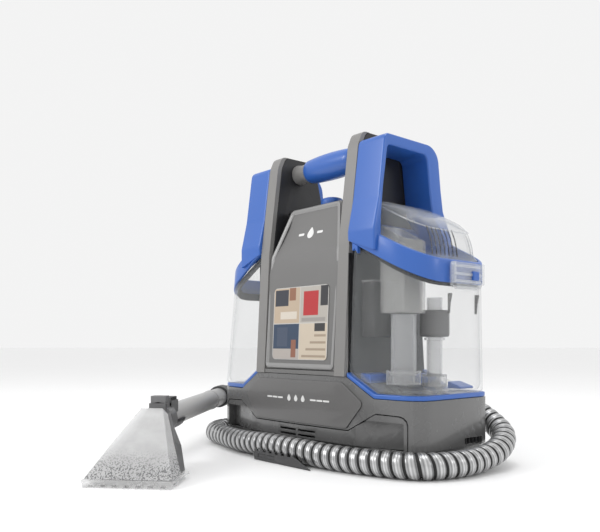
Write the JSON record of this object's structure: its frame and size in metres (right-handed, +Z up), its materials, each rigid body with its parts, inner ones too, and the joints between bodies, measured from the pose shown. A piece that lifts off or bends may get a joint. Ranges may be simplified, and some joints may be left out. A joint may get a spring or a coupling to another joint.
{
  "type": "portable carpet and upholstery spot cleaner",
  "caption": "Portable spot cleaner with a centre tower and carry handle, a clear clean-water tank and a clear dirty-water tank, and a wrapped stretch hose with a hand tool.",
  "frame": {"origin": "middle of the rest boss under the base, on the floor, at the machine's centre in width", "axes": "+Z up, the front with the badge panel faces -Y, +X towards the dirty-water tank (the machine's right seen from the front)"},
  "size_m": [0.6214, 0.5963, 0.418],
  "materials": {
    "blue": "satin moulded, bright blue",
    "grey": "smooth moulded, mid grey with a soft gloss",
    "light": "satin moulded, light warm grey",
    "dark": "fine-textured moulded, near black",
    "black": "plain moulded, black",
    "clear": "clear moulded, polished",
    "rubber": "matte rubber",
    "white": null,
    "hose": "ribbed stretch hose, light grey ribs with a black spiral line",
    "metal": "plain steel"
  },
  "bodies": {
    "base": {"badge_panel": "grey", "base_housing": "grey", "base_pan": "grey", "cord_gland": "rubber", "cord_hook_upper": "dark", "fan_housing": "black", "fan_motor": "metal", "foot_front_left": "rubber", "foot_front_right": "rubber", "foot_rear_left": "rubber", "foot_rear_right": "rubber", "front_skirt": "grey", "handle_collar_left": "light", "handle_collar_right": "light", "handle_core": "metal", "handle_grip": "blue", "hose": "hose", "hose_cradle": "dark", "hose_cuff": "grey", "hose_outlet": "grey", "picture_label": "white", "power_switch": "black", "seat_trim_left": "blue", "seat_trim_right": "blue", "strip_left": "light", "strip_right": "light", "switch_deck": "dark", "tool_cuff": "light", "tower_back": "grey", "tower_front": "grey", "upright_left": "dark", "upright_right": "dark", "valve_seat": "dark", "water_pump": "black"},
    "power_button": {"power_button": "blue"},
    "suction_fan": {"suction_fan": "metal"},
    "cord_hook_lower": {"cord_hook_lower": "dark"},
    "clean_tank": {"clean_reservoir": "clear", "clean_frame": "blue", "clean_dome": "clear", "clean_seal": "rubber", "clean_valve": "blue"},
    "dirty_tank": {"dirty_reservoir": "clear", "standpipe": "clear", "float_guide": "clear", "latch_pin": "metal"},
    "float": {"float": "grey"},
    "dirty_lid": {"dirty_frame": "blue", "dirty_dome": "clear", "dirty_seal": "rubber", "separator_duct": "light"},
    "dirty_latch": {"dirty_latch": "clear"},
    "tool": {"tool_body": "grey", "tool_wand": "light", "tool_grip": "dark", "trigger_pin": "metal"},
    "tool_head": {"tool_nozzle": "clear", "tool_lip": "clear"},
    "tool_trigger": {"tool_trigger": "dark"},
    "tool_lock": {"tool_lock": "dark"}
  },
  "joints": [
    {"name": "dirty_tank_lift", "type": "slide", "parent": "base", "child": "dirty_tank", "axis": [0, 0, 1], "range_m": [0, 0.12]},
    {"name": "dirty_lid_lift", "type": "slide", "parent": "dirty_tank", "child": "dirty_lid", "axis": [0, 0, 1], "range_m": [0, 0.1]},
    {"name": "latch_swing", "type": "hinge", "parent": "dirty_tank", "child": "dirty_latch", "pos_m": [0.1975, 0.013, 0.2175], "axis": [0, 1, 0], "range_deg": [0, 100]},
    {"name": "float_rise", "type": "slide", "parent": "dirty_tank", "child": "float", "axis": [0, 0, 1], "range_m": [0, 0.012]},
    {"name": "clean_tank_lift", "type": "slide", "parent": "base", "child": "clean_tank", "axis": [0, 0, 1], "range_m": [0, 0.12]},
    {"name": "power_button_press", "type": "slide", "parent": "base", "child": "power_button", "axis": [0, 0, -1], "range_m": [0, 0.003], "stiffness_N_per_m": 300, "springref_m": -0.003},
    {"name": "fan_spin", "type": "hinge", "parent": "base", "child": "suction_fan", "pos_m": [0, -0.008, 0.19], "axis": [0, 0, 1], "continuous": true},
    {"name": "cord_hook_turn", "type": "hinge", "parent": "base", "child": "cord_hook_lower", "pos_m": [0, 0.0767, 0.14], "axis": [0, 1, 0], "range_deg": [0, 180]},
    {"name": "tool_lift", "type": "hinge", "parent": "base", "child": "tool", "pos_m": [-0.2292, -0.05426, 0.0785], "axis": [-0.7444, -0.6677, 0], "range_deg": [0, 35]},
    {"name": "nozzle_slide", "type": "slide", "parent": "tool", "child": "tool_head", "axis": [0.6677, -0.7444, 0], "range_m": [0, 0.03]},
    {"name": "trigger_pull", "type": "hinge", "parent": "tool", "child": "tool_trigger", "pos_m": [-0.04077, -0.26433, 0.035], "axis": [0.7444, 0.6677, 0], "range_deg": [0, 8], "stiffness_Nm_per_rad": 0.5, "springref_deg": -11.46},
    {"name": "lock_press", "type": "slide", "parent": "tool", "child": "tool_lock", "axis": [0, 0, -1], "range_m": [0, 0.002], "stiffness_N_per_m": 300, "springref_m": -0.002}
  ]
}
